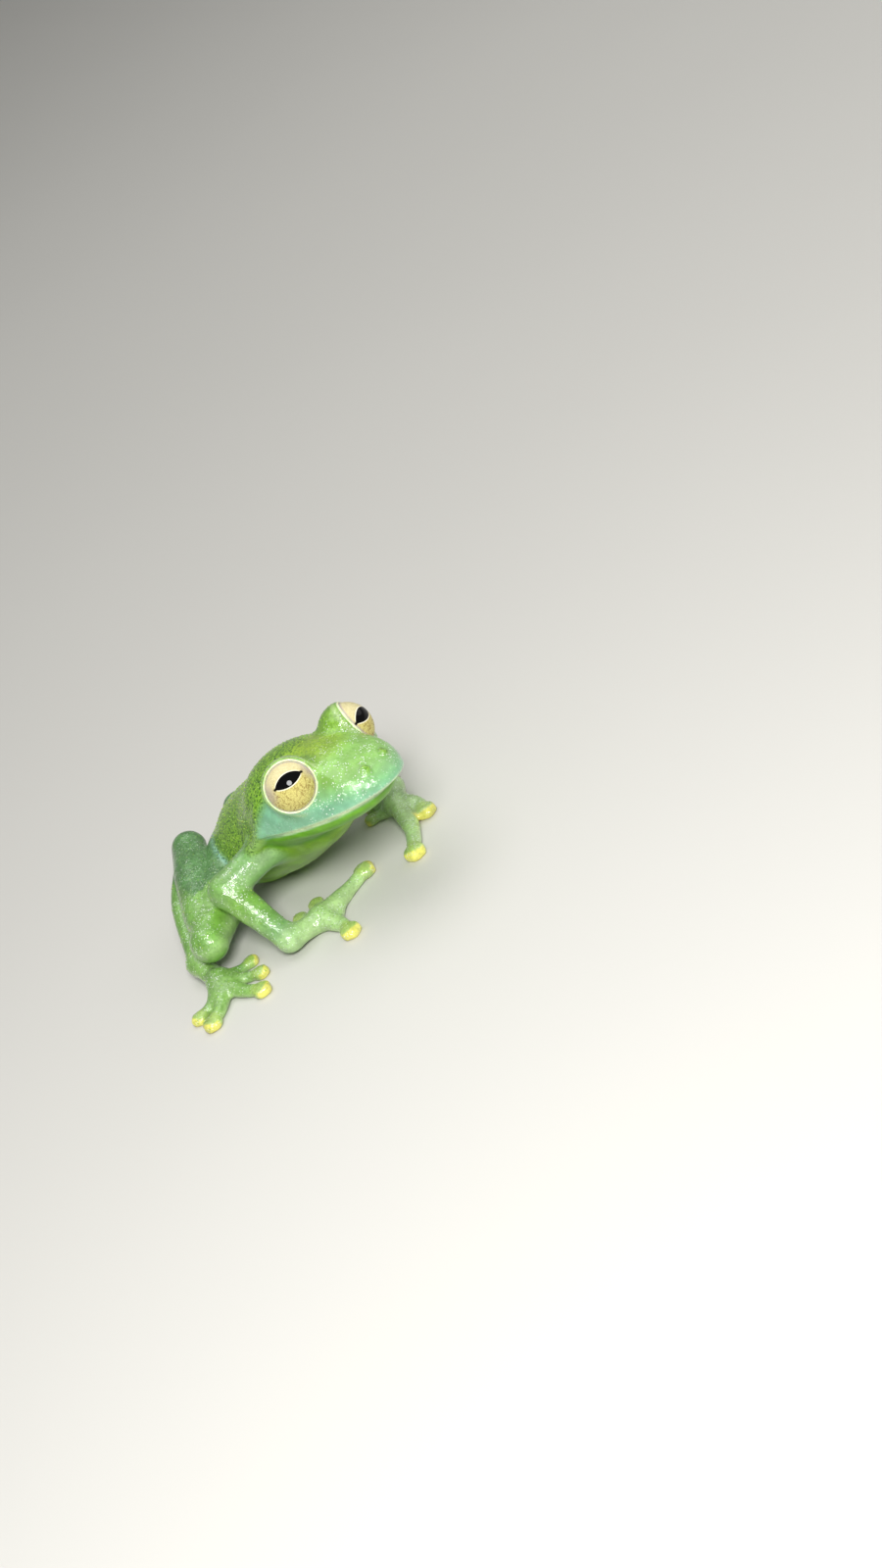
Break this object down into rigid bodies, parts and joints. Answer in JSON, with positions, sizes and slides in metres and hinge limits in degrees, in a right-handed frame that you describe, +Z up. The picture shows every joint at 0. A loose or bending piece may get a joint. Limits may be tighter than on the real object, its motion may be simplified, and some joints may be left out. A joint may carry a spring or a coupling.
{
  "type": "glass frog",
  "caption": "Life-size still model of a small green glass frog sitting with its head raised and its hands and feet spread on the floor.",
  "frame": {"origin": "on the floor, under the middle of the whole animal's box", "axes": "+X to the frog's left, +Y towards its back end, +Z up"},
  "size_m": [0.028, 0.0232, 0.0132],
  "materials": {
    "skin": "moist green skin, faintly clear, with fine dark dots",
    "limb": "moist mint green skin that light passes into",
    "digit": "moist yellow-green skin, yellow at the pads",
    "eye": "clear wet bulge over a gold iris and a black pupil that lies level"
  },
  "bodies": {
    "root": {"head": "skin", "trunk": "skin", "eye_right": "eye", "eye_left": "eye", "upper_arm_right": "limb", "forearm_right": "limb", "hand_right": "digit", "thigh_right": "limb", "shank_right": "limb", "tarsus_right": "limb", "foot_right": "digit", "upper_arm_left": "limb", "forearm_left": "limb", "hand_left": "digit", "thigh_left": "limb", "shank_left": "limb", "tarsus_left": "limb", "foot_left": "digit"}
  },
  "joints": []
}
